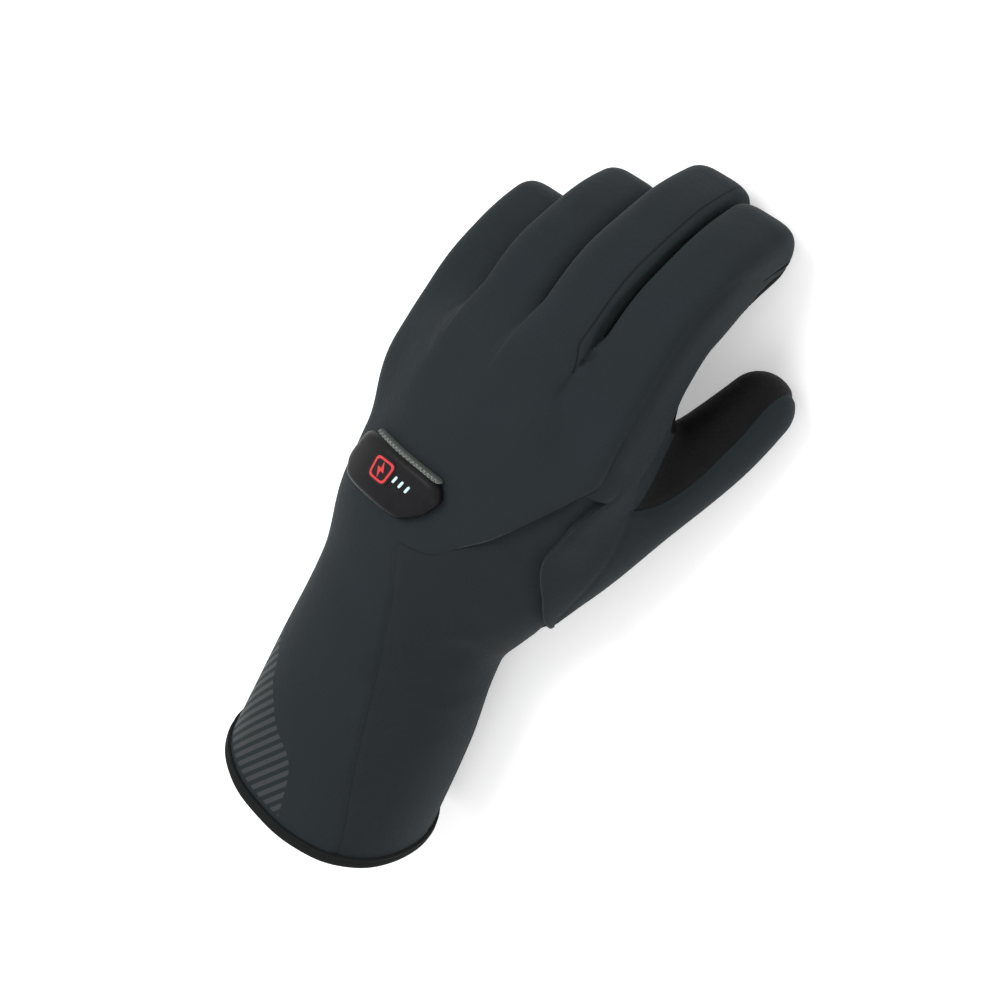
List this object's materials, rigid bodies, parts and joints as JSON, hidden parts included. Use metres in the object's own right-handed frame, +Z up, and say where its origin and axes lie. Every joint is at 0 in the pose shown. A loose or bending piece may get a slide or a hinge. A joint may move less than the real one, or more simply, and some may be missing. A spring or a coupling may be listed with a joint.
{
  "type": "heated glove",
  "caption": "Padded winter glove for the left hand with a wide cuff, a bound hem and a glossy heating control with a button and light bars on its back, lying palm down.",
  "frame": {"origin": "middle of the glove's footprint, on the surface it lies on", "axes": "+Y from the hem towards the fingertips, +X towards the thumb, +Z up out of the back of the hand"},
  "size_m": [0.122, 0.2552, 0.0676],
  "materials": {
    "back_cloth": "dark grey softshell cloth over padding, fine knit face",
    "thumb_cloth": "dark grey softshell cloth over padding",
    "palm_leather": "smooth black grip facing",
    "palm_cloth": "near-black padded palm cloth",
    "fourchette_cloth": "dark grey cloth strip between the fingers",
    "cuff_cloth": "dark grey softshell cloth",
    "cuff_palm_cloth": "dark grey softshell cloth",
    "hem_tape": "folded binding tape",
    "pod_plastic": "glossy black soft plastic",
    "piping_rubber": "light grey ribbed edge",
    "button_plastic": "dark glossy button with a red rim and bolt sign",
    "led_plastic": "pale translucent light bar"
  },
  "bodies": {
    "root": {"back_panel": "back_cloth", "thumb_panel": "thumb_cloth", "thumb_palm": "palm_leather", "palm_panel": "palm_cloth", "fourchette_ring_little": "fourchette_cloth", "fourchette_middle_ring": "fourchette_cloth", "fourchette_index_middle": "fourchette_cloth", "cuff_back": "cuff_cloth", "cuff_palm": "cuff_palm_cloth", "hem_binding": "hem_tape", "control_pod": "pod_plastic", "pod_piping": "piping_rubber", "power_button": "button_plastic", "led_bar_1": "led_plastic", "led_bar_2": "led_plastic", "led_bar_3": "led_plastic"}
  },
  "joints": []
}
